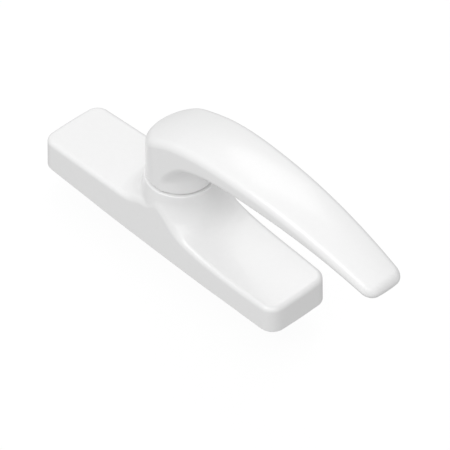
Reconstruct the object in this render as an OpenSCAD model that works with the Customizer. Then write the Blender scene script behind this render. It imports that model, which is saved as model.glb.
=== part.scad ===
// Cremone window handle. A lever turns a pinion inside a long narrow base, and the
// pinion drives two opposed racks whose pins reach through the back into the sash.
//
// Frame: the origin is on the spindle axis at the mounting face. +X runs along the
// base towards the lever's tip, +Z points out of the window. Millimetres.

/* [Base] */
// Width of the base across the boss
base_w = 28; // [27.6:0.2:30]
// Width of the base at its two ends
end_w = 26.6; // [26.2:0.2:27.4]
// Distance from the spindle axis to the slab end
slab_reach = 57.3; // [57:0.1:60]
// Distance from the spindle axis to the ramp end
ramp_reach = 59.6; // [59:0.1:62]
// Radius of the base's corners in plan
corner_r = 4.8; // [3.5:0.1:5.5]
// Height of the slab at its outer end
slab_h = 12; // [11.6:0.2:14]
// Slope of the slab towards the boss
slab_slope = 0.06; // [0.03:0.01:0.08]
// Height of the ramp at its outer end
ramp_h = 10.4; // [10.2:0.2:12]
// Height of the round boss
boss_h = 26.5; // [26:0.5:28]
// Thickness of the base cover's walls
wall = 2; // [1.8:0.1:2.2]

/* [Lever] */
// Radius of the lever's neck
neck_r = 11.8; // [11.2:0.1:12]
// Radius of the lever's head in plan
head_r = 12.5; // [12:0.1:13]
// Distance from the spindle axis to the lever's tip
lever_reach = 100; // [95:0.5:110]
// Highest point of the lever
lever_top = 56.4; // [55:0.2:60]
// Distance from the spindle axis to the highest point
crest_x = 40; // [36:1:44]
// Thickness of the lever's bar
bar_t = 8.4; // [7.5:0.1:9.5]
// How much thinner the bar is at its tip
tip_thinning = 3; // [1:0.2:3.4]
// Half-width of the lever's tip
tip_w = 8.2; // [7.5:0.1:9.5]

/* [Drive] */
// Gear module of the pinion and the racks
gear_m = 1.2; // [1.2:0.05:1.25]
// Turn of the lever from closed to open, in degrees
lever_turn = 90; // [80:5:90]
// Distance from the spindle axis to each drive pin, with the lever closed
pin_x = 41; // [40:0.5:41.5]
// Diameter of the drive pins
pin_d = 6; // [5:0.5:6.5]
// How far the drive pins stand out of the back
pin_reach = 8.5; // [6:0.5:12]
// Width of the square spindle
spindle_w = 7; // [6:0.5:7.5]

/* [Fixing] */
// Distance between the two M5 fixing points
fixing_pitch = 102; // [101:0.5:103]
// Tapping diameter of an M5 thread
fixing_d = 4.2; // [4:0.1:4.3]

/* [Hidden] */

$fn = 96;
eps = 0.01;
painted_white = [0.95, 0.95, 0.94];
zinc_grey = [0.70, 0.71, 0.73];
spring_grey = [0.45, 0.46, 0.48];
nylon_white = [0.88, 0.87, 0.82];
casting_grey = [0.60, 0.60, 0.60];

// Plan of the base: two long side arcs and four corner arcs, all tangent.
half_w = base_w / 2;
mid_x = (ramp_reach - slab_reach) / 2;
half_len = (ramp_reach + slab_reach) / 2;
side_bulge = (base_w - end_w) / 2;
side_r = (half_len * half_len + side_bulge * side_bulge) / (2 * side_bulge);
side_y = side_r - half_w;
corner_dx = half_len - corner_r;
corner_y = sqrt(pow(side_r - corner_r, 2) - corner_dx * corner_dx) - side_y;
tangent_angle = atan2(corner_y + side_y, corner_dx);
side_steps = 8;
boss_r = half_w - 0.15;

// Flare between the boss and the ramp: a tight curve on top of a long gentle one.
flare_tight_h = 5;
flare_tight_len = 1.2;
flare_gentle_h = 4.2;
flare_gentle_len = 8.5;
flare_end_r = 46;

// Heights inside the base, from the mounting face up.
plate_t = 2;
rack_z = 2.3;
rack_t = 5;
washer_t = 0.55;
pinion_z = plate_t + washer_t + 0.05;
pinion_t = 5;
cavity_h = ramp_h - wall;
holder_z = 7.8;
holder_top = 15.2;
cam_z = 9.8;
cam_t = 5;
roof_z = boss_h - 4;
boss_cavity_r = half_w - wall - 0.2;
ledge_r = boss_cavity_r - 0.5;

// Lever bearing and its retaining stack.
bush_flange_t = 0.5;
bush_flange_r = neck_r - 0.6;
neck_z = boss_h + bush_flange_t;
spigot_r = 8.5;
spigot_z = 19;
bush_r = 10;
running_gap = 0.05;
thrust_t = 0.6;
wave_t = 0.7;
ring_t = 1;
ring_groove_r = 8.1;
thrust_z = roof_z - thrust_t;
wave_z = thrust_z - wave_t;
ring_z = wave_z - ring_t;

// Rack and pinion. The racks have short teeth, so the pinion needs no undercut.
pinion_teeth = 12;
pressure_angle = 20;
pitch_r = gear_m * pinion_teeth / 2;
pinion_tip_r = pitch_r + 0.8 * gear_m;
pinion_root_r = pitch_r - gear_m;
base_circle_r = pitch_r * cos(pressure_angle);
rack_addendum = 0.65 * gear_m;
rack_root_y = pitch_r + 1.05 * gear_m;
rack_pitch = PI * gear_m;
backlash = 0.12;
rack_outer_y = half_w - wall - 0.9;
rack_travel = pitch_r * lever_turn * PI / 180;
rack_teeth = [-2:4];
foot_len = 9;
foot_y = 5;
shoulder_d = pin_d + 2;
slot_spare = 0.3;
hub_r = 6;

// Fixing points and cover screws.
insert_d = 7;
insert_len = 8;
insert_boss_d = 9;
fixing_x = fixing_pitch / 2;
screw_d = 3;
screw_head_d = 5.6;
screw_len = 7;
screw_boss_d = 6;
hub_screw_x = 18.5;
corner_screw_x = 51.5;
corner_screw_y = 7.8;
screw_places = [
    [hub_screw_x, 0], [-hub_screw_x, 0],
    [corner_screw_x, corner_screw_y], [corner_screw_x, -corner_screw_y],
    [-corner_screw_x, corner_screw_y], [-corner_screw_x, -corner_screw_y]
];

// Detent: two leaf springs bear on the flats of a square cam.
cam_w = 12;
cam_corner_r = 7.3;
leaf_y = cam_w / 2 + 0.05;
leaf_t = 0.5;
leaf_w = 4;
leaf_len = 19;

// Lever profile.
crest_drop_tip = 0.0029;
crest_drop_head = 0.0045;
bar_taper_power = 1.5;
head_back_z = 42;
blend_start_z = 33;
blend_end_x = 40;
spindle_top = 36;
grub_z = 32.5;
grub_d = 5;
grub_len = 6.5;

// ---------- outlines ----------

// Half-width of the base at x, with its outline moved inwards by inset.
function side_at(x, inset) = sqrt(pow(side_r - inset, 2) - pow(x - mid_x, 2)) - side_y;

function corner_points(inset) = [
    for (a = [tangent_angle:-tangent_angle / 8:0])
        [corner_dx + (corner_r - inset) * cos(a), corner_y + (corner_r - inset) * sin(a)]
];

// One quarter of the outline, measured from the middle of the base, then mirrored.
function quarter(inset) = concat(
    [for (k = [0:side_steps]) let (x = k / side_steps * (corner_dx - 1))
        [x, side_at(x + mid_x, inset)]],
    corner_points(inset)
);

module base_plan(inset = 0) {
    q = quarter(inset);
    last = len(q) - 1;
    translate([mid_x, 0])
        polygon(concat(
            q,
            [for (k = [last:-1:0]) [q[k][0], -q[k][1]]],
            [for (k = [1:last]) [-q[k][0], -q[k][1]]],
            [for (k = [last:-1:1]) [-q[k][0], q[k][1]]]
        ));
}

// A side profile in X and Z, as a bar of the given width across Y.
module across(width) {
    translate([0, width / 2, 0])
        rotate([90, 0, 0])
            linear_extrude(width) children();
}

function slab_z(x) = slab_h + slab_slope * (x + slab_reach);

module base_profile(drop = 0, end = 0) {
    polygon([
        [-slab_reach - 1, end], [-slab_reach - 1, slab_z(-slab_reach - 1) - drop],
        [-4, slab_z(-4) - drop], [-4, ramp_h - drop],
        [ramp_reach + 1, ramp_h - drop], [ramp_reach + 1, end]
    ]);
}

function flare_z(r) =
    ramp_h + flare_tight_h * exp(-(r - half_w) / flare_tight_len)
    + flare_gentle_h * exp(-(r - half_w) / flare_gentle_len);

module flare_profile() {
    start_r = half_w - 1.5;
    polygon(concat(
        [[start_r, cavity_h], [start_r, flare_z(half_w)]],
        [for (step = [0:0.4:1.6]) [half_w + step, flare_z(half_w + step)]],
        [for (r = [half_w + 2.4:2:flare_end_r]) [r, flare_z(r)]],
        [[flare_end_r, cavity_h]]
    ));
}

function involute(r, angle) = [
    r * (cos(angle) + angle * PI / 180 * sin(angle)),
    r * (sin(angle) - angle * PI / 180 * cos(angle))
];

// Roll angle at which the involute of the base circle reaches radius r.
function roll_angle(r) = sqrt(pow(r / base_circle_r, 2) - 1) * 180 / PI;

function turned(p, angle) = [
    p[0] * cos(angle) - p[1] * sin(angle),
    p[0] * sin(angle) + p[1] * cos(angle)
];

module pinion_outline() {
    steps = 6;
    tip_roll = roll_angle(pinion_tip_r);
    pitch_point = involute(base_circle_r, roll_angle(pitch_r));
    pitch_turn = atan2(pitch_point[1], pitch_point[0]);
    half_tooth = 90 / pinion_teeth - backlash / 2 / pitch_r * 180 / PI;
    flank = [for (k = [0:steps])
        turned(involute(base_circle_r, tip_roll * k / steps), -half_tooth - pitch_turn)];
    root_turn = half_tooth + pitch_turn;
    tooth = concat(
        [turned([pinion_root_r, 0], -root_turn)], flank,
        [for (k = [steps:-1:0]) [flank[k][0], -flank[k][1]]],
        [turned([pinion_root_r, 0], root_turn)]
    );
    polygon([for (k = [0:pinion_teeth - 1], p = tooth)
        turned(p, 90 + k * 360 / pinion_teeth)]);
}

// Outline of the rack that lies on the +Y side of the pinion.
module rack_outline() {
    slope = tan(pressure_angle);
    half_pitch_w = rack_pitch / 4 - backlash / 2;
    root_w = half_pitch_w + slope * (rack_root_y - pitch_r);
    tip_w2 = half_pitch_w - slope * rack_addendum;
    tip_y = pitch_r - rack_addendum;
    start_x = -2 * rack_pitch - 0.6;
    foot_x = pin_x - foot_len / 2;
    translate([start_x, rack_root_y])
        square([foot_x + foot_len - start_x, rack_outer_y - rack_root_y]);
    for (k = rack_teeth)
        translate([(k + 0.5) * rack_pitch, 0])
            polygon([
                [-root_w, rack_root_y + 0.2], [-root_w, rack_root_y], [-tip_w2, tip_y],
                [tip_w2, tip_y], [root_w, rack_root_y], [root_w, rack_root_y + 0.2]
            ]);
    translate([foot_x, -foot_y])
        square([foot_len, foot_y + rack_outer_y]);
}

// ---------- base ----------

module boss_bore_stack() {
    translate([0, 0, plate_t]) cylinder(r = boss_cavity_r, h = holder_top - plate_t);
    translate([0, 0, plate_t]) cylinder(r = ledge_r, h = roof_z - plate_t);
    translate([0, 0, plate_t]) cylinder(r = bush_r, h = boss_h);
}

module cover_posts() {
    for (p = screw_places)
        translate([p[0], p[1], plate_t]) cylinder(d = screw_boss_d, h = boss_h);
    for (side = [-1, 1])
        translate([side * fixing_x, 0, plate_t]) cylinder(d = insert_boss_d, h = boss_h);
}

module base_cavity() {
    intersection() {
        translate([0, 0, -1]) linear_extrude(boss_h) base_plan(wall);
        across(base_w) base_profile(wall, -1);
    }
}

module base_body() {
    intersection() {
        linear_extrude(boss_h) base_plan();
        union() {
            across(base_w + 2) base_profile();
            rotate_extrude() flare_profile();
        }
    }
    cylinder(r = boss_r, h = boss_h);
}

module base_cover() {
    color(painted_white)
        difference() {
            base_body();
            difference() {
                union() {
                    base_cavity();
                    boss_bore_stack();
                }
                cover_posts();
            }
            for (p = screw_places)
                translate([p[0], p[1], -1]) cylinder(d = screw_d, h = screw_len + 1.5);
            for (side = [-1, 1])
                translate([side * fixing_x, 0, -1]) cylinder(d = insert_d, h = insert_len + 1);
        }
}

// Slot that guides a drive pin's shoulder over the racks' travel.
module pin_slot() {
    slot_r = shoulder_d / 2 + running_gap;
    near_x = pin_x - rack_travel - slot_spare;
    far_x = pin_x + slot_spare;
    polygon(concat(
        [for (a = [-90:10:90]) [far_x + slot_r * cos(a), slot_r * sin(a)]],
        [for (a = [90:10:270]) [near_x + slot_r * cos(a), slot_r * sin(a)]]
    ));
}

module screw_shape() {
    head_h = (screw_head_d - screw_d) / 2;
    difference() {
        rotate_extrude()
            polygon([
                [0, 0.05], [screw_head_d / 2, 0.05], [screw_d / 2, 0.05 + head_h],
                [screw_d / 2, screw_len - 0.4], [screw_d / 2 - 0.4, screw_len], [0, screw_len]
            ]);
        translate([0, 0, -eps]) cylinder(d = 2.3, h = 1.3, $fn = 6);
    }
}

// Through hole with a countersink that opens at the mounting face.
module countersunk_hole() {
    head_h = (screw_head_d - screw_d) / 2;
    hole_r = screw_d / 2 + 0.2;
    head_r2 = screw_head_d / 2 + 0.2;
    rotate_extrude()
        polygon([
            [0, -1], [head_r2, -1], [head_r2, 0], [hole_r, head_h],
            [hole_r, plate_t + 1], [0, plate_t + 1]
        ]);
}

module back_plate() {
    color(zinc_grey)
        difference() {
            linear_extrude(plate_t) base_plan(wall + 0.1);
            for (side = [0, 180])
                rotate([0, 0, side]) {
                    translate([0, 0, -1]) linear_extrude(plate_t + 2) pin_slot();
                    translate([fixing_x, 0, -1])
                        cylinder(d = insert_d + 0.6, h = plate_t + 2);
                }
            for (p = screw_places)
                translate([p[0], p[1], 0]) countersunk_hole();
        }
}

module threaded_inserts() {
    color(zinc_grey)
        for (side = [-1, 1])
            translate([side * fixing_x, 0, 0])
                difference() {
                    cylinder(d = insert_d, h = insert_len);
                    translate([0, 0, -1]) cylinder(d = fixing_d, h = insert_len);
                }
}

module cover_screws() {
    color(zinc_grey)
        for (p = screw_places)
            translate([p[0], p[1], 0]) screw_shape();
}

module bearing_bush() {
    color(nylon_white)
        difference() {
            union() {
                translate([0, 0, roof_z]) cylinder(r = bush_r, h = boss_h - roof_z + bush_flange_t);
                translate([0, 0, boss_h]) cylinder(r = bush_flange_r, h = bush_flange_t);
            }
            translate([0, 0, roof_z - 1])
                cylinder(r = spigot_r + running_gap, h = boss_h);
        }
}

module flat_ring(z, inner_r, outer_r, thickness) {
    translate([0, 0, z])
        difference() {
            cylinder(r = outer_r, h = thickness);
            translate([0, 0, -1]) cylinder(r = inner_r, h = thickness + 2);
        }
}

module thrust_washer() {
    color(zinc_grey)
        flat_ring(thrust_z, spigot_r + 0.15, ledge_r - 0.2, thrust_t);
}

module pinion_washer() {
    color(nylon_white)
        flat_ring(plate_t, 2, pinion_root_r, washer_t);
}

// ---------- detent ----------

module holder_legs() {
    leg_y = 7;
    for (side = [-1, 1])
        translate([side * (boss_cavity_r - 1.7) - 1.3, -leg_y / 2, plate_t])
            cube([2.6, leg_y, holder_z - plate_t + 1]);
}

module detent_holder() {
    flange_t = cam_z - holder_z - 0.1;
    slot_depth = cam_corner_r - cam_w / 2 + 0.3;
    chamber_h = holder_top - holder_z - flange_t + 1;
    color(nylon_white)
        difference() {
            union() {
                translate([0, 0, holder_z])
                    cylinder(r = boss_cavity_r - 0.1, h = holder_top - holder_z);
                intersection() {
                    holder_legs();
                    translate([0, 0, plate_t]) cylinder(r = boss_cavity_r - 0.1, h = boss_h);
                }
            }
            translate([0, 0, holder_z - 1]) cylinder(r = hub_r + running_gap, h = boss_h);
            translate([0, 0, holder_z + flange_t]) {
                cylinder(r = cam_corner_r + 0.2, h = chamber_h);
                for (side = [-1, 1])
                    translate([0, side * (leaf_y + slot_depth / 2), chamber_h / 2]) {
                        cube([leaf_len - 3, slot_depth + 0.2, chamber_h], center = true);
                    }
                for (side = [-1, 1])
                    translate([0, side * (leaf_y + leaf_t / 2), chamber_h / 2])
                        cube([leaf_len + 0.1, leaf_t + 0.04, chamber_h], center = true);
            }
        }
}

module detent_springs() {
    color(spring_grey)
        for (side = [-1, 1])
            translate([0, side * (leaf_y + leaf_t / 2), cam_z + cam_t / 2])
                cube([leaf_len, leaf_t, leaf_w], center = true);
}

module spindle_hole(z, h) {
    hole_w = spindle_w + 0.06;
    translate([-hole_w / 2, -hole_w / 2, z]) cube([hole_w, hole_w, h]);
}

module detent_cam() {
    color(casting_grey)
        difference() {
            translate([0, 0, cam_z])
                intersection() {
                    cylinder(r = cam_corner_r, h = cam_t);
                    translate([-cam_w / 2, -cam_w / 2, 0]) cube([cam_w, cam_w, cam_t]);
                }
            spindle_hole(cam_z - 1, cam_t + 2);
        }
}

// ---------- lever and what turns with it ----------

function crest_z(x) =
    lever_top - (x > crest_x ? crest_drop_tip : crest_drop_head) * pow(x - crest_x, 2);

function bar_half_w(x) =
    x < 0 ? sqrt(max(0, head_r * head_r - x * x))
          : head_r - (head_r - tip_w) * pow(x / lever_reach, bar_taper_power);

module lever_plan() {
    tip_r = 4.5;
    steps = 10;
    body_x = lever_reach - tip_r;
    upper = concat(
        [for (k = [0:12]) let (a = 180 - 7.5 * k) [head_r * cos(a), head_r * sin(a)]],
        [for (x = [8:8:body_x - 4]) [x, bar_half_w(x)]],
        [for (k = [0:steps]) let (a = 90 - 9 * k)
            [body_x + tip_r * cos(a), tip_w - tip_r + tip_r * sin(a)]]
    );
    polygon(concat(upper, [for (k = [len(upper) - 1:-1:1]) [upper[k][0], -upper[k][1]]]));
}

module lever_side() {
    shoulder_x = -4;
    tip_underside = crest_z(lever_reach) - bar_t + tip_thinning;
    head_arc = [for (k = [0:6]) let (a = 180 - 15 * k)
        [shoulder_x + (head_r + shoulder_x) * cos(a),
         head_back_z + (crest_z(shoulder_x) - head_back_z) * sin(a)]];
    blend = [for (k = [1:9]) let (a = 10 * k)
        [blend_end_x - blend_end_x * sin(a), blend_start_z
         + (crest_z(blend_end_x) - bar_t - blend_start_z) * cos(a)]];
    polygon(concat(
        [[-head_r, blend_start_z]], head_arc,
        [for (x = [shoulder_x + 4:4:lever_reach]) [x, crest_z(x)]],
        [[lever_reach, crest_z(lever_reach)], [lever_reach, tip_underside]],
        [for (x = [lever_reach - 4:-4:blend_end_x])
            [x, crest_z(x) - bar_t
             + tip_thinning * (x - blend_end_x) / (lever_reach - blend_end_x)]],
        blend
    ));
}

module lever() {
    color(painted_white)
        difference() {
            union() {
                intersection() {
                    linear_extrude(lever_top + 1) lever_plan();
                    across(2 * head_r + 2) lever_side();
                }
                translate([0, 0, neck_z]) cylinder(r = neck_r, h = head_back_z - neck_z);
                translate([0, 0, spigot_z])
                    cylinder(r = spigot_r, h = neck_z - spigot_z + 1);
            }
            flat_ring(ring_z, ring_groove_r, spigot_r + 1, ring_t);
            spindle_hole(spigot_z - 1, spindle_top - spigot_z + 1.2);
            translate([-head_r - 1, 0, grub_z])
                rotate([0, 90, 0]) cylinder(d = grub_d, h = head_r + 1 - spindle_w / 2);
        }
}

module grub_screw() {
    color(spring_grey)
        translate([-spindle_w / 2 - 0.05, 0, grub_z])
            rotate([0, -90, 0])
                difference() {
                    rotate_extrude()
                        polygon([
                            [0, 0], [grub_d / 2 - 1, 0], [grub_d / 2, 1],
                            [grub_d / 2, grub_len - 0.3], [grub_d / 2 - 0.3, grub_len], [0, grub_len]
                        ]);
                    translate([0, 0, grub_len - 2.2]) cylinder(d = 2.9, h = 3, $fn = 6);
                }
}

module spindle() {
    spindle_z = pinion_z + 0.6;
    color(zinc_grey)
        translate([-spindle_w / 2, -spindle_w / 2, spindle_z])
            cube([spindle_w, spindle_w, spindle_top - spindle_z]);
}

module pinion() {
    color(casting_grey)
        difference() {
            union() {
                translate([0, 0, pinion_z]) linear_extrude(pinion_t) pinion_outline();
                translate([0, 0, pinion_z]) cylinder(r = hub_r, h = cam_z - 0.05 - pinion_z);
            }
            spindle_hole(pinion_z + 0.6, cam_z);
        }
}

module wave_washer() {
    color(spring_grey)
        flat_ring(wave_z + 0.05, spigot_r + 0.15, ledge_r - 0.6, wave_t - 0.1);
}

module retaining_ring() {
    gap_w = 3;
    color(spring_grey)
        difference() {
            flat_ring(ring_z, ring_groove_r, ledge_r - 1.2, ring_t);
            translate([0, -gap_w / 2, ring_z - 1]) cube([20, gap_w, ring_t + 2]);
        }
}

// ---------- racks and drive pins ----------

module rack_solid() {
    difference() {
        translate([0, 0, rack_z]) linear_extrude(rack_t) rack_outline();
        translate([pin_x, 0, rack_z - 1]) cylinder(d = pin_d - 1, h = rack_t + 2);
    }
}

module drive_pin_solid() {
    tip = 0.5;
    translate([pin_x, 0, 0])
        rotate_extrude()
            polygon([
                [0, -pin_reach], [pin_d / 2 - tip, -pin_reach], [pin_d / 2, tip - pin_reach],
                [pin_d / 2, 0], [shoulder_d / 2, 0], [shoulder_d / 2, rack_z],
                [(pin_d - 1) / 2, rack_z], [(pin_d - 1) / 2, rack_z + rack_t], [0, rack_z + rack_t]
            ]);
}

module upper_rack() {
    color(casting_grey) rotate([0, 0, 180]) rack_solid();
}

module upper_drive_pin() {
    color(zinc_grey) rotate([0, 0, 180]) drive_pin_solid();
}

module lower_rack() {
    color(casting_grey) rack_solid();
}

module lower_drive_pin() {
    color(zinc_grey) drive_pin_solid();
}

base_cover();
back_plate();
threaded_inserts();
cover_screws();
bearing_bush();
thrust_washer();
pinion_washer();
detent_holder();
detent_springs();
detent_cam();
lever();
grub_screw();
spindle();
pinion();
wave_washer();
retaining_ring();
upper_rack();
upper_drive_pin();
lower_rack();
lower_drive_pin();
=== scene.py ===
"""Looks of the cremone window handle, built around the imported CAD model.

Shapes are worked out in millimetres, in the CAD frame, and become metres when a mesh is made.
The cast and moulded pieces are implicit solids: a field that is negative inside the solid, with
true fillets between its surfaces, which skin() turns into a smooth mesh.
"""

import math

import bpy
import numpy as np
from mathutils import Matrix, Vector


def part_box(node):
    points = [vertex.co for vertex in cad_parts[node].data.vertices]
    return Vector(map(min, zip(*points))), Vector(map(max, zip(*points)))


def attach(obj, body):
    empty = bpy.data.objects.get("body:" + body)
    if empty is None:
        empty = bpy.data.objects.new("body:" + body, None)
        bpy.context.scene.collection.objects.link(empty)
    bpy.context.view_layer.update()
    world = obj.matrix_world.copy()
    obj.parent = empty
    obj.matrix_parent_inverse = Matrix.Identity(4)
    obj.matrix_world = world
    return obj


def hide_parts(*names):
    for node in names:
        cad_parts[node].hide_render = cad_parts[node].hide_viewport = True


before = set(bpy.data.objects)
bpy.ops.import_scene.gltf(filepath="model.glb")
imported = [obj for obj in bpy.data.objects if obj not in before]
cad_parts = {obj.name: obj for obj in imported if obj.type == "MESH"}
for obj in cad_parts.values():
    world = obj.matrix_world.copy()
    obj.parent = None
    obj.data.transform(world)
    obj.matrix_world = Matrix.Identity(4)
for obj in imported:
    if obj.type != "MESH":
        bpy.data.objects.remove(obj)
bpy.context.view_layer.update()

MM = 0.001

# ---------- the base ----------
HALF_W = 14.0
END_HALF_W = 13.15
SLAB_REACH = 57.0
RAMP_REACH = 59.2
CORNER_R = 4.8
END_BOW_R = 190.0
DRAFT = 0.021
SLAB_H = 12.0
SLAB_SLOPE = 0.0624
RAMP_H = 10.9
FLARE_H = 5.6
FLARE_LEN = 8.0
RAMP_TILT = 0.047
TILT_START_LEN = 8.0
TILT_FADE = 0.6
TILT_FADE_X = 42.0
TILT_FADE_LEN = 18.0
STEP_X = -3.0
STEP_LEN = 6.0
BOSS_H = 26.5
BOSS_R = 12.6
BOSS_DRAFT = 0.12
BOSS_FILLET_R = 6.5
FILLET_DIP = 3.0
DIP_X = -2.5
DIP_LEN = 3.5
BOSS_EDGE_R = 0.35
EDGE_R = 1.8
RIM_EDGE_R = 0.5
RIM_R = 18.0
RIM_BLEND = 5.0
BACK_EDGE_R = 0.4
WALL = 2.0
CAVITY_STEP_X = -4.0
PINION_SPACE_TOP = 15.2
PINION_SPACE_R = 11.8
HOLDER_SPACE_R = 11.3
PLATE_T = 2.0

MID_X = (RAMP_REACH - SLAB_REACH) / 2
HALF_LEN = (RAMP_REACH + SLAB_REACH) / 2
SIDE_BULGE = HALF_W - END_HALF_W
SIDE_R = (HALF_LEN ** 2 + SIDE_BULGE ** 2) / (2 * SIDE_BULGE)
SIDE_Y = SIDE_R - HALF_W

# ---------- the lever ----------
LEVER_REACH = 99.9
CREST_X = 40.0
CREST_Z = 56.2
TIP_DROP = 0.0029
HEAD_DROP = 6.9
HEAD_DROP_POWER = 2.75
SWELL = 0.25
SWELL_LEN = 12.0
TAPER_START = 8.0
TAPER_END = 4.2
TAPER_POWER = 1.6
BAR_T = 8.35
THINNING = 0.064
THINNING_START = 50.0
THINNING_BLEND = 6.0
HEAD_TILT = 0.06
HEAD_TILT_X = 10.0
HEAD_TILT_LEN = 14.0
TIP_BOW_R = 55.0
TIP_UNDERCUT = 0.12
TIP_LIP = 2.0
UNDER_FILLET_R = 6.0
CROWN = 1.3
LEVER_EDGE_R = 2.4
HEAD_UNDER_EDGE_R = 0.8
UNDER_EDGE_X = 4.0
UNDER_EDGE_LEN = 10.0
TIP_CORNER_R = 3.8
HEAD_R = 11.85
NECK_R = 11.8
NECK_Z = 27.0
NECK_FLARE = 3.0
NECK_FLARE_X = 5.0
NECK_FLARE_LEN = 8.0
UNDER_DROP = 6.0
UNDER_LEN = 9.6
SPIGOT_R = 8.5
SPIGOT_Z = 19.0
GROOVE_R = 8.1
GROOVE_Z = 20.7
GROOVE_HALF_W = 0.5
GRUB_Z = 32.5
GRUB_R = 2.5
SPINDLE_HALF_W = 3.53
SPINDLE_HOLE_TOP = 37.2

# ---------- the small parts, placed as in the CAD ----------
SCREW_PLACES = [(-18.5, 0.0), (18.5, 0.0), (-51.5, -7.8), (-51.5, 7.8), (51.5, -7.8), (51.5, 7.8)]
SCREW_HEAD_R = 2.8
SCREW_R = 1.5
SCREW_LEN = 7.0
SCREW_PITCH = 0.7
SCREW_THREAD_DEPTH = 0.28
SCREW_THREAD_START = 2.2
SCREW_THREAD_RUN_IN = 0.6
SCREW_FACE_DROP = 0.05
SCREW_POST_R = 3.0
SCREW_HOLE_TOP = 8.5
CROSS_HALF_W = 0.42
CROSS_DRAFT = 0.12
CROSS_REACH = 1.55
CROSS_TAPER = 0.75
CROSS_CORE_R = 0.8
CROSS_CORE_TAPER = 0.35
CROSS_DEPTH = 1.6
FIXING_X = 51.0
FIXING_R = 2.1
INSERT_R = 3.5
INSERT_LEN = 8.0
INSERT_PITCH = 0.8
INSERT_THREAD_DEPTH = 0.3
INSERT_POST_R = 4.5
INSERT_FLOOR = 1.0
COLLAR_LEN = 0.8
COLLAR_BLEND = 0.3
KNURLS = 30
KNURL_DEPTH = 0.10
BAND_START = 1.0
BAND_PITCH = 3.3
BAND_GAP = 0.35
BAND_BLEND = 0.2
BAND_GROOVE = 0.15
MOUTH_DEPTH = 0.9
MOUTH_FLARE = 0.45
PIN_X = 41.0
PIN_R = 3.0
PIN_REACH = 8.5
PIN_SHANK_R = PIN_R - 0.5
RELIEF_R = 0.4
RELIEF_Z = -1.1
CENTRE_R = 0.75
CENTRE_TAPER = 0.9
SHOULDER_R = 4.0
RACK_Z = 2.3
RACK_T = 5.0
SLOT_R = 4.05
SLOT_X = 35.35
SLOT_HALF_LEN = 5.95
ROOF_Z = 22.5
BUSH_R = 10.0
BUSH_FLANGE_R = 10.9
GRUB_LEN = 6.5
GRUB_PITCH = 0.8
GRUB_THREAD_DEPTH = 0.3
HEX_HALF_W = 1.27
HEX_DEPTH = 2.2

# how far a joined solid or a cut reaches past the face it meets
OVERLAP = 1.0


# ---------- solids as fields ----------

def meet(a, b, r):
    """Inside both a and b, with the edge between them rounded to radius r."""
    return np.minimum(np.maximum(a, b), -r) + np.hypot(np.maximum(a + r, 0), np.maximum(b + r, 0))


def join(a, b, r):
    """Inside a or b, with a fillet of radius r in the corner between them."""
    return -meet(-a, -b, r)


def cut(a, b, r):
    """Inside a but outside b, with the edge rounded to radius r."""
    return meet(a, -b, r)


def smooth_step(t):
    """0 up to t = 0 and 1 from t = 1, with an even curve between."""
    t = np.clip(t, 0, 1)
    return t * t * (3 - 2 * t)


def slope_of(field, p, gap=0.02):
    """Gradient of the field at the points p."""
    g = np.empty_like(p)
    for k in range(3):
        ahead, behind = p.copy(), p.copy()
        ahead[:, k] += gap
        behind[:, k] -= gap
        g[:, k] = (field(*ahead.T) - field(*behind.T)) / (2 * gap)
    return g


def grid_line(low, high, step, fine=()):
    """Grid positions from low to high, closer together in the fine stretches (low, high, step)."""
    line = [low - 1.5 * step]
    while line[-1] < high + step:
        here = min([s for a, b, s in fine if a - s <= line[-1] <= b] + [step])
        line.append(line[-1] + here)
    return np.array(line)


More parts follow.
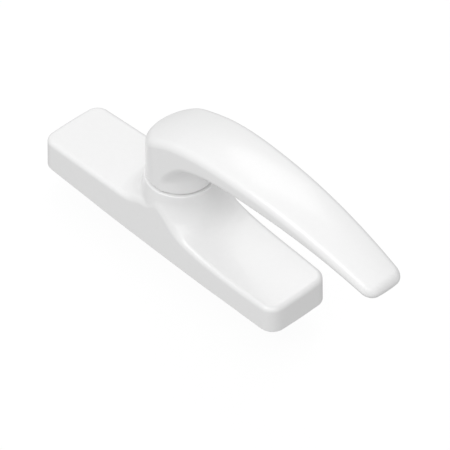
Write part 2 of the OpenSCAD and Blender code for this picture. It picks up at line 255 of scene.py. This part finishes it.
def skin(field, low, high, step, fine=((), (), ()), rounds=6):
    """The field's surface as (points, quads, normals): one point in each grid cell that the surface
    crosses, evened out along the surface and then set exactly onto it."""
    lines = [grid_line(a, b, step, f) for a, b, f in zip(low, high, fine)]
    corner = np.meshgrid(*lines, indexing="ij")
    value = field(*corner)
    cells = tuple(n - 1 for n in value.shape)
    total = np.zeros(cells + (3,))
    count = np.zeros(cells, int)
    crossings = []
    for k in range(3):
        near = [slice(None)] * 3
        far = [slice(None)] * 3
        near[k], far[k] = slice(None, -1), slice(1, None)
        v0, v1 = value[tuple(near)], value[tuple(far)]
        at = np.argwhere((v0 < 0) != (v1 < 0))
        others = [j for j in range(3) if j != k]
        ok = np.all([(at[:, j] > 0) & (at[:, j] < cells[j]) for j in others], axis=0)
        at = at[ok]
        a, b = v0[tuple(at.T)], v1[tuple(at.T)]
        spot = np.stack([lines[j][at[:, j]] for j in range(3)], axis=1)
        spot[:, k] += a / (a - b) * (lines[k][at[:, k] + 1] - lines[k][at[:, k]])
        ring = []
        for d0, d1 in ((-1, -1), (0, -1), (0, 0), (-1, 0)):
            cell = at.copy()
            cell[:, others[0]] += d0
            cell[:, others[1]] += d1
            np.add.at(total, tuple(cell.T), spot)
            np.add.at(count, tuple(cell.T), 1)
            ring.append(np.ravel_multi_index(tuple(cell.T), cells))
        ring = np.stack(ring, axis=1)
        flip = (a < 0) == (k == 1)
        ring[flip] = ring[flip][:, ::-1]
        crossings.append(ring)
    used = np.flatnonzero(count)
    number = np.full(count.size, -1)
    number[used] = np.arange(len(used))
    points = total.reshape(-1, 3)[used] / count.reshape(-1)[used][:, None]
    quads = number[np.concatenate(crossings)]

    links = np.concatenate([quads[:, [0, 1]], quads[:, [1, 2]], quads[:, [2, 3]], quads[:, [3, 0]]])
    degree = np.bincount(links.ravel(), minlength=len(points))[:, None]
    for turn in range(rounds):
        slope = slope_of(field, points)
        size = np.maximum(np.sum(slope * slope, axis=1), 0.05)
        move = field(*points.T) / size
        points -= np.clip(move, -step, step)[:, None] * slope
        if turn < rounds - 2:
            mean = np.stack([
                np.bincount(links[:, 0], points[links[:, 1], j], len(points))
                + np.bincount(links[:, 1], points[links[:, 0], j], len(points)) for j in range(3)
            ], axis=1) / degree
            pull = (mean - points) * 0.5
            normal = slope / np.sqrt(np.maximum(np.sum(slope * slope, axis=1), 1e-9))[:, None]
            pull -= normal * np.sum(pull * normal, axis=1)[:, None]
            points += pull
    slope = slope_of(field, points)
    normals = slope / np.sqrt(np.maximum(np.sum(slope * slope, axis=1), 1e-9))[:, None]
    return points, quads, normals


# ---------- Blender pieces ----------

def new_mesh(name, points, faces, normals=None):
    """A smooth mesh object from points in millimetres, with its own normals where they are given."""
    mesh = bpy.data.meshes.new(name)
    mesh.from_pydata((np.asarray(points) * MM).tolist(), [], np.asarray(faces).tolist())
    mesh.validate()
    mesh.polygons.foreach_set("use_smooth", [True] * len(mesh.polygons))
    if normals is not None:
        mesh.normals_split_custom_set_from_vertices(normals.tolist())
    mesh.update()
    obj = bpy.data.objects.new(name, mesh)
    bpy.context.scene.collection.objects.link(obj)
    return obj


def stand_in(obj, body, finish, node):
    """Gives a piece its finish and its body, and hides the CAD node it stands for."""
    obj.data.materials.append(FINISHES[finish])
    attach(obj, body)
    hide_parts(node)


# ---------- fields of the two white castings ----------

def base_outline(x, y, inset=0.0):
    """Distance outside the plan of the base, moved inwards by inset."""
    side = np.hypot(x - MID_X, np.abs(y) + SIDE_Y) - SIDE_R + inset
    right = np.hypot(x - RAMP_REACH + END_BOW_R, y) - END_BOW_R + inset
    left = np.hypot(x + SLAB_REACH - END_BOW_R, y) - END_BOW_R + inset
    return meet(side, np.where(x > 0, right, left), CORNER_R - inset)


def top_height(x, y, r):
    """Height of the cover's top, without the boss: the slab, and the ramp that flares up to the boss."""
    slab = SLAB_H + SLAB_SLOPE * (x + SLAB_REACH)
    flare = FLARE_H * np.exp(-np.maximum(r - HALF_W, -1) / FLARE_LEN)
    tilt = RAMP_TILT * y * (1 - TILT_FADE * smooth_step((x - TILT_FADE_X) / TILT_FADE_LEN))
    tilt *= smooth_step(x / TILT_START_LEN)
    ramp = RAMP_H + flare + tilt
    return slab + (ramp - slab) * smooth_step((x - STEP_X) / STEP_LEN)


# each post: x, y, its radius, and the radius and depth of its hole
POSTS = [(x, y, SCREW_POST_R, SCREW_R, SCREW_HOLE_TOP) for x, y in SCREW_PLACES]
POSTS += [(x, 0.0, INSERT_POST_R, INSERT_R, INSERT_LEN) for x in (-FIXING_X, FIXING_X)]


def base_cavity(x, y, z, r):
    """The space inside the cover, with its posts for the screws and inserts left standing."""
    slab = SLAB_H + SLAB_SLOPE * (x + SLAB_REACH)
    roof = np.where(x < CAVITY_STEP_X, slab, RAMP_H) - WALL
    hollow = np.maximum(base_outline(x, y, WALL), z - roof)
    bore_r = np.where(z < PINION_SPACE_TOP, PINION_SPACE_R, np.where(z < ROOF_Z, HOLDER_SPACE_R, BUSH_R))
    stack = np.maximum(r - bore_r, z - BOSS_H - OVERLAP)
    space = np.minimum(hollow, stack)
    posts = np.inf
    for post_x, post_y, post_r, _, _ in POSTS:
        posts = np.minimum(posts, np.hypot(x - post_x, y - post_y) - post_r)
    return np.maximum(space, -np.maximum(posts, PLATE_T - z))


def cover_field(x, y, z):
    """The cover: its walls and top, the boss on its fillet, the space inside and the blind holes."""
    r = np.hypot(x, y)
    walls = base_outline(x, y) + DRAFT * z
    top = z - top_height(x, y, r)
    boss = meet(r - BOSS_R - BOSS_DRAFT * (BOSS_H - z), z - BOSS_H, BOSS_EDGE_R)
    fillet_r = BOSS_FILLET_R - FILLET_DIP * np.exp(-((x - DIP_X) / DIP_LEN) ** 2)
    body = join(top, boss, fillet_r)
    edge_r = EDGE_R + (RIM_EDGE_R - EDGE_R) * smooth_step((RIM_R - r) / RIM_BLEND)
    outer = meet(meet(walls, body, edge_r), -z, BACK_EDGE_R)
    solid = np.maximum(outer, -base_cavity(x, y, z, r))
    for post_x, post_y, _, hole_r, depth in POSTS:
        hole = np.maximum(np.hypot(x - post_x, y - post_y) - hole_r, z - depth)
        solid = np.maximum(solid, -hole)
    return solid


def crest_of(x):
    """Height of the lever's back: a parabola towards the tip, and a steeper fall over the head."""
    past = x - CREST_X
    head = HEAD_DROP * (np.maximum(-past, 0) / CREST_X) ** HEAD_DROP_POWER
    return CREST_Z - np.where(past > 0, TIP_DROP * past ** 2, head)


def half_width_of(x):
    """Half the lever's width: the head's radius, a slight swell, then the taper to the tip."""
    tapering = np.maximum(x - TAPER_START, 0) / (LEVER_REACH - TAPER_START)
    return HEAD_R + SWELL * smooth_step(x / SWELL_LEN) - TAPER_END * tapering ** TAPER_POWER


def thickness_of(x):
    """Thickness of the bar, which thins evenly beyond THINNING_START."""
    past = x - THINNING_START
    return BAR_T - THINNING * (past + np.hypot(past, THINNING_BLEND)) / 2


def lever_field(x, y, z):
    """The lever: plan outline, back and underside, neck and spigot, and the holes for its parts."""
    r = np.hypot(x, y)
    half_w = half_width_of(np.maximum(x, 0))
    side = np.where(x < 0, r - HEAD_R, np.abs(y) - half_w)
    end = np.hypot(np.maximum(x - LEVER_REACH + TIP_BOW_R, 0), y) - TIP_BOW_R
    crest = crest_of(x)
    outline = meet(side, end + TIP_UNDERCUT * np.maximum(crest - TIP_LIP - z, 0), TIP_CORNER_R)
    rise_per_mm = crest_of(x + 0.5) - crest_of(x - 0.5)
    lean = np.hypot(1, rise_per_mm)
    tilt = HEAD_TILT * y * smooth_step((HEAD_TILT_X - x) / HEAD_TILT_LEN)
    top = (z - crest + CROWN * (y / half_w) ** 2 - tilt) / lean

    drop = UNDER_DROP * np.exp(-np.maximum(r - NECK_R, 0) / UNDER_LEN)
    under = (crest - thickness_of(np.maximum(x, 0)) - drop - z) / lean
    neck = r - NECK_R - NECK_FLARE * smooth_step((NECK_FLARE_X - x) / NECK_FLARE_LEN)
    column = join(neck, under, UNDER_FILLET_R)
    bar_share = smooth_step((x - UNDER_EDGE_X) / UNDER_EDGE_LEN)
    under_edge_r = HEAD_UNDER_EDGE_R + (LEVER_EDGE_R - HEAD_UNDER_EDGE_R) * bar_share
    solid = meet(meet(outline, column, under_edge_r), top, LEVER_EDGE_R)
    solid = meet(solid, NECK_Z - z, r=0.3)

    spigot = np.maximum(r - SPIGOT_R, np.maximum(SPIGOT_Z - z, z - NECK_Z - OVERLAP))
    solid = np.minimum(solid, spigot)
    groove = np.maximum(GROOVE_R - r, np.abs(z - GROOVE_Z) - GROOVE_HALF_W)
    solid = np.maximum(solid, -groove)
    socket = np.maximum(np.maximum(np.abs(x), np.abs(y)) - SPINDLE_HALF_W, z - SPINDLE_HOLE_TOP)
    solid = np.maximum(solid, -socket)
    grub = np.maximum(np.hypot(y, z - GRUB_Z) - GRUB_R, x)
    return cut(solid, grub, r=0.3)


# ---------- materials ----------

# noise runs from 0 to 1, and nearly all of it lies between these
NOISE_LOW = 0.2
NOISE_HIGH = 0.8


class Nodes:
    """A material's node tree, built a node at a time."""

    def __init__(self, name, **principled):
        self.material = bpy.data.materials.new(name)
        self.material.use_nodes = True
        self.tree = self.material.node_tree
        self.shader = self.tree.nodes["Principled BSDF"]
        for socket, value in principled.items():
            self.shader.inputs[socket.replace("_", " ")].default_value = value
        self.place = self.add("ShaderNodeTexCoord").outputs["Object"]

    def add(self, kind, inputs=None, **settings):
        node = self.tree.nodes.new(kind)
        for key, value in settings.items():
            setattr(node, key, value)
        for key, value in (inputs or {}).items():
            if isinstance(value, bpy.types.NodeSocket):
                self.tree.links.new(value, node.inputs[key])
            else:
                node.inputs[key].default_value = value
        return node

    def stretched(self, scale):
        return self.add("ShaderNodeMapping", {"Vector": self.place, "Scale": scale}).outputs["Vector"]

    def noise(self, scale, detail=2.0, vector=None):
        """Noise whose grains are about scale millimetres across."""
        node = self.add("ShaderNodeTexNoise", {
            "Vector": vector or self.place, "Scale": 1000.0 / scale, "Detail": detail, "Roughness": 0.55})
        return node.outputs["Fac"]

    def spread(self, value, low, high):
        """Maps noise around 0.5 to the range from low to high."""
        return self.add("ShaderNodeMapRange", {
            "Value": value, "From Min": NOISE_LOW, "From Max": NOISE_HIGH,
            "To Min": low, "To Max": high}).outputs["Result"]

    def tint(self, value, dark, light):
        ramp = self.add("ShaderNodeValToRGB", {"Fac": value})
        ramp.color_ramp.elements[0].position = NOISE_LOW
        ramp.color_ramp.elements[1].position = NOISE_HIGH
        ramp.color_ramp.elements[0].color = (*dark, 1)
        ramp.color_ramp.elements[1].color = (*light, 1)
        return ramp.outputs["Color"]

    def bump(self, height, strength, distance, below=None):
        inputs = {"Height": height, "Strength": strength, "Distance": distance * MM}
        if below is not None:
            inputs["Normal"] = below
        return self.add("ShaderNodeBump", inputs).outputs["Normal"]

    def finish(self, color, roughness, normal):
        for socket, value in (("Base Color", color), ("Roughness", roughness), ("Normal", normal)):
            self.tree.links.new(value, self.shader.inputs[socket])
        return self.material


def white_enamel():
    """Glossy white powder coat: a faint orange peel, soft waves of gloss, hardly any colour change."""
    n = Nodes("white_enamel", Coat_Weight=0.3, Coat_Roughness=0.12, IOR=1.5)
    peel = n.noise(0.9, 1.0)
    waves = n.noise(9.0, 2.0)
    color = n.tint(n.noise(1.6, 4.0), (0.834, 0.834, 0.834), (0.848, 0.848, 0.848))
    normal = n.bump(waves, 0.08, 0.04, n.bump(peel, 0.06, 0.008))
    return n.finish(color, n.spread(waves, 0.285, 0.335), normal)


def zinc_plate():
    """Bright zinc plating: spangled tone, fine rolling lines and a satin gloss."""
    n = Nodes("zinc_steel", Metallic=1.0, Anisotropic=0.3)
    lines = n.noise(0.25, 3.0, n.stretched((0.04, 1, 1)))
    cloud = n.noise(6.0, 4.0)
    color = n.tint(cloud, (0.56, 0.57, 0.60), (0.72, 0.72, 0.73))
    rough = n.spread(n.noise(1.6, 5.0), 0.27, 0.42)
    return n.finish(color, rough, n.bump(lines, 0.18, 0.02))


def turned_steel():
    """Turned steel: fine tool marks that run round each piece, under a film of oil."""
    n = Nodes("turned_steel", Metallic=1.0)
    marks = n.noise(0.18, 2.0, n.stretched((0.05, 0.05, 1)))
    color = n.tint(n.noise(3.0, 3.0), (0.50, 0.50, 0.52), (0.66, 0.66, 0.67))
    return n.finish(color, n.spread(n.noise(1.2, 4.0), 0.20, 0.36), n.bump(marks, 0.22, 0.02))


def spring_steel():
    """Blued spring steel."""
    n = Nodes("spring_steel", Metallic=1.0)
    color = n.tint(n.noise(2.5, 4.0), (0.20, 0.22, 0.28), (0.34, 0.34, 0.37))
    return n.finish(color, n.spread(n.noise(0.8, 4.0), 0.24, 0.4), n.bump(n.noise(0.2, 3.0), 0.15, 0.01))


def black_steel():
    """Black oxide steel: dark, slightly worn on its skin."""
    n = Nodes("black_steel", Metallic=0.85)
    color = n.tint(n.noise(0.7, 5.0), (0.035, 0.035, 0.04), (0.085, 0.083, 0.085))
    return n.finish(color, n.spread(n.noise(0.5, 4.0), 0.3, 0.48), n.bump(n.noise(0.15, 3.0), 0.2, 0.01))


def cast_zinc():
    """Bare die-cast zinc: matt, with a fine sandy skin and darker clouds."""
    n = Nodes("cast_zinc", Metallic=0.9)
    color = n.tint(n.noise(2.2, 6.0), (0.36, 0.36, 0.375), (0.56, 0.56, 0.57))
    return n.finish(color, n.spread(n.noise(0.6, 5.0), 0.42, 0.6), n.bump(n.noise(0.25, 4.0), 0.35, 0.03))


def nylon():
    """Natural moulded nylon: slightly translucent, warm white, with a fine moulded skin."""
    n = Nodes("nylon", Subsurface_Weight=0.25, Subsurface_Scale=0.002, IOR=1.53)
    color = n.tint(n.noise(4.0, 3.0), (0.78, 0.77, 0.72), (0.86, 0.85, 0.81))
    return n.finish(color, n.spread(n.noise(0.7, 3.0), 0.38, 0.52), n.bump(n.noise(0.3, 3.0), 0.2, 0.01))


FINISHES = {
    "white_enamel": white_enamel(), "zinc_steel": zinc_plate(), "turned_steel": turned_steel(),
    "spring_steel": spring_steel(), "black_steel": black_steel(), "cast_zinc": cast_zinc(),
    "nylon": nylon(),
}

# ---------- fields of the small parts ----------

def thread(x, y, z, pitch):
    """0 at a thread's crests and 1 at its roots, for a right-handed thread about the z axis."""
    turn = (z / pitch - np.arctan2(y, x) / (2 * math.pi)) % 1
    return 1 - np.abs(2 * turn - 1)


def plate_field(x, y, z):
    """The zinc back plate, with its pin slots, insert holes and countersinks."""
    plate = meet(base_outline(x, y, WALL + 0.1), np.abs(z - PLATE_T / 2) - PLATE_T / 2, r=0.35)
    in_slot = np.maximum(np.abs(np.abs(x) - SLOT_X) - SLOT_HALF_LEN, 0)
    plate = meet(plate, SLOT_R - np.hypot(in_slot, y), r=0.3)
    plate = meet(plate, INSERT_R + 0.3 - np.hypot(np.abs(x) - FIXING_X, y), r=0.3)
    for spot_x, spot_y in SCREW_PLACES:
        r = np.hypot(x - spot_x, y - spot_y)
        countersink = np.maximum(SCREW_HEAD_R + 0.2 - z, SCREW_R + 0.2)
        plate = meet(plate, (countersink - r) * 0.8, r=0.15)
    return plate


def screw_field(x, y, z):
    """One countersunk cover screw: a cross recess in the head and a cut thread on the shank."""
    r = np.hypot(x, y)
    cone = (r - SCREW_HEAD_R + z) / math.sqrt(2)
    rim = r - SCREW_HEAD_R + SCREW_FACE_DROP
    head = meet(np.maximum(cone, rim), SCREW_FACE_DROP - z, r=0.12)
    cut_in = SCREW_THREAD_DEPTH * thread(x, y, z, SCREW_PITCH)
    cut_in *= smooth_step((z - SCREW_THREAD_START) / SCREW_THREAD_RUN_IN)
    shank = meet(r - SCREW_R + cut_in, z - SCREW_LEN, r=0.3)
    body = np.minimum(head, np.maximum(shank, OVERLAP - z))
    across, along = np.minimum(np.abs(x), np.abs(y)), np.maximum(np.abs(x), np.abs(y))
    recess = meet(across - CROSS_HALF_W + CROSS_DRAFT * z, along - CROSS_REACH + CROSS_TAPER * z, r=0.1)
    recess = join(recess, r - CROSS_CORE_R + CROSS_CORE_TAPER * z, r=0.15)
    return cut(body, np.maximum(recess, z - CROSS_DEPTH), r=0.06)


def insert_field(x, y, z):
    """One threaded insert: knurled outside, with a coarse female thread and a countersunk mouth."""
    r = np.hypot(x, y)
    knurl = KNURL_DEPTH * (0.5 + 0.5 * np.cos(KNURLS * np.arctan2(y, x)))
    from_band_middle = np.abs((z - BAND_START) % BAND_PITCH - BAND_PITCH / 2)
    past_collar = smooth_step((z - COLLAR_LEN) / COLLAR_BLEND)
    banded = smooth_step((from_band_middle - BAND_GAP) / BAND_BLEND) * past_collar
    outside = r - INSERT_R + knurl * banded + BAND_GROOVE * (1 - banded) * past_collar
    wall = meet(outside, np.abs(z - INSERT_LEN / 2) - INSERT_LEN / 2, r=0.2)
    mouth = MOUTH_FLARE * smooth_step((MOUTH_DEPTH - z) / MOUTH_DEPTH)
    crests = INSERT_THREAD_DEPTH * (1 - thread(x, y, z, INSERT_PITCH))
    bore = meet(r - FIXING_R - crests - mouth, z - INSERT_LEN + INSERT_FLOOR, r=0.2)
    return cut(wall, bore, r=0.08)


def pin_field(x, y, z):
    """One drive pin: a turned free end below the shoulder, and a riveted shank above it."""
    r = np.hypot(x, y)
    free = meet(r - PIN_R, -PIN_REACH - z, r=0.6)
    free = np.maximum(free, z - OVERLAP)
    shoulder = meet(r - SHOULDER_R, np.abs(z - RACK_Z / 2) - RACK_Z / 2, r=0.25)
    shank = meet(r - PIN_SHANK_R, z - RACK_Z - RACK_T, r=0.3)
    body = np.minimum(join(free, shoulder, r=0.35), np.maximum(shank, OVERLAP - z))
    relief = np.hypot(r - PIN_R - 0.15, z - RELIEF_Z) - RELIEF_R
    centre = (r - CENTRE_R + (z + PIN_REACH) * CENTRE_TAPER) * 0.7
    return cut(cut(body, relief, r=0.1), centre, r=0.1)


def bush_field(x, y, z):
    """The nylon bearing bush: a collar in the boss's bore under a thin flange, both softly rounded."""
    r = np.hypot(x, y)
    collar = meet(r - BUSH_R, np.abs(z - (ROOF_Z + NECK_Z) / 2) - (NECK_Z - ROOF_Z) / 2, r=0.25)
    flange = meet(r - BUSH_FLANGE_R, np.abs(z - (BOSS_H + NECK_Z) / 2) - (NECK_Z - BOSS_H) / 2, r=0.2)
    return cut(np.minimum(collar, flange), r - SPIGOT_R - 0.05, r=0.15)


def grub_field(x, y, z):
    """The grub screw that grips the spindle: cone point, thread, and a hexagon socket."""
    r = np.hypot(y, z)
    depth = -x
    cut_in = GRUB_THREAD_DEPTH * thread(y, z, x, GRUB_PITCH)
    shank = meet(r - GRUB_R + cut_in, depth - GRUB_LEN, r=0.35)
    shank = meet(shank, (r - GRUB_R + 1 - depth) / math.sqrt(2), r=0.1)
    body = np.maximum(shank, -depth)
    flats = [np.abs(y * math.cos(a) + z * math.sin(a)) for a in np.radians((0, 60, 120))]
    floor_gap = GRUB_LEN - HEX_DEPTH - depth
    socket = meet(np.maximum.reduce(flats) - HEX_HALF_W, floor_gap, r=0.1)
    return cut(body, np.maximum(socket, floor_gap), r=0.08)


spindle_low, spindle_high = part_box("spindle")


def spindle_field(x, y, z):
    """The square spindle, with rounded edges."""
    half = spindle_high.x / MM
    middle = (spindle_low.z + spindle_high.z) / 2 / MM
    square = meet(np.abs(x) - half, np.abs(y) - half, r=0.5)
    return meet(square, np.abs(z - middle) - (spindle_high.z - spindle_low.z) / 2 / MM, r=0.4)


def copies(points, faces, normals, spots):
    """One skin repeated at each (x, y) spot."""
    count = len(points)
    points = np.concatenate([points + (x, y, 0) for x, y in spots])
    faces = np.concatenate([faces + k * count for k in range(len(spots))])
    return points, faces, np.tile(normals, (len(spots), 1))


# ---------- pieces ----------

cover = new_mesh("base_cover_skin", *skin(
    cover_field, (-58, -14.5, 0), (60, 14.5, 27), 0.5, fine=((), (), ((-1, 1, 0.25),))))
stand_in(cover, "base", "white_enamel", "base_cover")

lever = new_mesh("lever_skin", *skin(
    lever_field, (-13, -13, 18.5), (101, 13, 57.5), 0.45, fine=(((-12.6, -9, 0.3),), (), ())))
stand_in(lever, "lever", "white_enamel", "lever")

plate = new_mesh("back_plate_skin", *skin(plate_field, (-56, -13, -1), (58, 13, 3), 0.3))
stand_in(plate, "base", "zinc_steel", "back_plate")

screws = new_mesh("cover_screws_skin", *copies(
    *skin(screw_field, (-3.2, -3.2, -0.5), (3.2, 3.2, 7.5), 0.13), SCREW_PLACES))
stand_in(screws, "base", "zinc_steel", "cover_screws")

inserts = new_mesh("threaded_inserts_skin", *copies(
    *skin(insert_field, (-4, -4, -0.6), (4, 4, 8.6), 0.14), [(-FIXING_X, 0), (FIXING_X, 0)]))
stand_in(inserts, "base", "turned_steel", "threaded_inserts")

pin_skin = skin(pin_field, (-4.6, -4.6, -9.2), (4.6, 4.6, 8), 0.2)
for side, x in (("upper", -PIN_X), ("lower", PIN_X)):
    pin = new_mesh(side + "_drive_pin_skin", *copies(*pin_skin, [(x, 0)]))
    stand_in(pin, side + "_slider", "turned_steel", side + "_drive_pin")

bush = new_mesh("bearing_bush_skin", *skin(bush_field, (-12, -12, 22), (12, 12, 27.4), 0.22))
stand_in(bush, "base", "nylon", "bearing_bush")

grub = new_mesh("grub_screw_skin", *skin(grub_field, (-7.2, -3, -3), (0.6, 3, 3), 0.13))
grub.data.transform(Matrix.Translation((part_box("grub_screw")[1].x, 0, GRUB_Z * MM)))
stand_in(grub, "lever", "black_steel", "grub_screw")

spindle = new_mesh("spindle_skin", *skin(
    spindle_field, (-4, -4, spindle_low.z / MM - 0.6), (4, 4, spindle_high.z / MM + 0.6), 0.25))
stand_in(spindle, "lever", "turned_steel", "spindle")

# the hidden parts keep their CAD shapes
HIDDEN_PARTS = {
    "thrust_washer": "turned_steel", "pinion_washer": "nylon", "detent_holder": "nylon",
    "detent_springs": "spring_steel", "wave_washer": "spring_steel", "retaining_ring": "spring_steel",
    "detent_cam": "cast_zinc", "pinion": "cast_zinc", "upper_rack": "cast_zinc", "lower_rack": "cast_zinc",
}
for node, finish in HIDDEN_PARTS.items():
    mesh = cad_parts[node].data
    mesh.materials.clear()
    mesh.materials.append(FINISHES[finish])

# ---------- stage, light and camera ----------

def stage_material():
    n = Nodes("pale_floor")
    color = n.tint(n.noise(60.0, 3.0), (0.02, 0.02, 0.02), (0.024, 0.024, 0.024))
    n.finish(color, n.spread(n.noise(3.0, 3.0), 0.6, 0.7), n.bump(n.noise(0.6, 2.0), 0.05, 0.02))
    n.shader.inputs["Emission Color"].default_value = (1, 1, 1, 1)
    n.shader.inputs["Emission Strength"].default_value = 0.95
    return n.material


# the floor lies 0.2 mm under the drive pins
FLOOR_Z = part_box("upper_drive_pin")[0].z - 0.0002
FLOOR_HALF = 3000
floor_corners = [(sx * FLOOR_HALF, sy * FLOOR_HALF, 0) for sx, sy in ((-1, -1), (1, -1), (1, 1), (-1, 1))]
floor = new_mesh("floor", floor_corners, [(0, 1, 2, 3)])
floor.location.z = FLOOR_Z
floor.data.materials.append(stage_material())
# the floor is only seen: it neither lights nor shades the handle
floor.visible_diffuse = False
floor.visible_glossy = False
floor.visible_shadow = False


# what the camera and the lights point at
AIM = Vector((16.66, 4.88, 10.0)) * MM


def softbox(name, spot, size, power):
    """A rectangular area light at spot that faces the handle."""
    light = bpy.data.lights.new(name, "AREA")
    light.shape = "RECTANGLE"
    light.size, light.size_y = size
    light.energy = power
    obj = bpy.data.objects.new(name, light)
    bpy.context.scene.collection.objects.link(obj)
    obj.location = spot
    obj.rotation_euler = (AIM - spot).to_track_quat("-Z", "Y").to_euler()


LIGHT_DISTANCE = 1.3
# each softbox: its direction from the handle, its size in metres and its power in watts
SOFTBOXES = {
    "key_softbox": ((-0.15, -0.65, 0.745), (0.7, 0.7), 4.7),
    "back_softbox": ((-0.42, 0.49, 0.76), (0.5, 0.5), 1.5),
    "camera_softbox": ((0.45, -0.6, 0.66), (0.7, 0.7), 2.55),
    "side_softbox": ((0.92, -0.1, 0.38), (0.9, 0.5), 0.5),
}
for name, (direction, size, power) in SOFTBOXES.items():
    softbox(name, AIM + LIGHT_DISTANCE * Vector(direction), size, power)


def studio_dome(below, horizon, above):
    """Soft light from all round: brightness of the dome straight down, at the horizon and straight up."""
    world = bpy.data.worlds.new("studio")
    world.use_nodes = True
    nodes, links = world.node_tree.nodes, world.node_tree.links
    direction = nodes.new("ShaderNodeTexCoord")
    split = nodes.new("ShaderNodeSeparateXYZ")
    height = nodes.new("ShaderNodeMapRange")
    ramp = nodes.new("ShaderNodeValToRGB")
    height.inputs["From Min"].default_value = -1
    ramp.color_ramp.elements.new(0.5)
    for element, level in zip(ramp.color_ramp.elements, (below, horizon, above)):
        element.color = (level, level, level, 1)
    links.new(direction.outputs["Generated"], split.inputs["Vector"])
    links.new(split.outputs["Z"], height.inputs["Value"])
    links.new(height.outputs["Result"], ramp.inputs["Fac"])
    links.new(ramp.outputs["Color"], nodes["Background"].inputs["Color"])
    bpy.context.scene.world = world


studio_dome(0.45, 0.57, 0.80)

CAMERA_AZIMUTH = math.radians(47.02)
CAMERA_ELEVATION = math.radians(44.15)
CAMERA_DISTANCE = 1.7306
CAMERA_LENS = 409.5
toward_camera = Vector((
    math.sin(CAMERA_AZIMUTH) * math.cos(CAMERA_ELEVATION),
    -math.cos(CAMERA_AZIMUTH) * math.cos(CAMERA_ELEVATION),
    math.sin(CAMERA_ELEVATION)))
lens = bpy.data.cameras.new("camera")
lens.sensor_width = 36
lens.lens = CAMERA_LENS
lens.clip_end = 50
camera = bpy.data.objects.new("camera", lens)
bpy.context.scene.collection.objects.link(camera)
camera.location = AIM + toward_camera * CAMERA_DISTANCE
camera.rotation_euler = (-toward_camera).to_track_quat("-Z", "Y").to_euler()
bpy.context.scene.camera = camera
bpy.context.scene.view_settings.view_transform = "Standard"
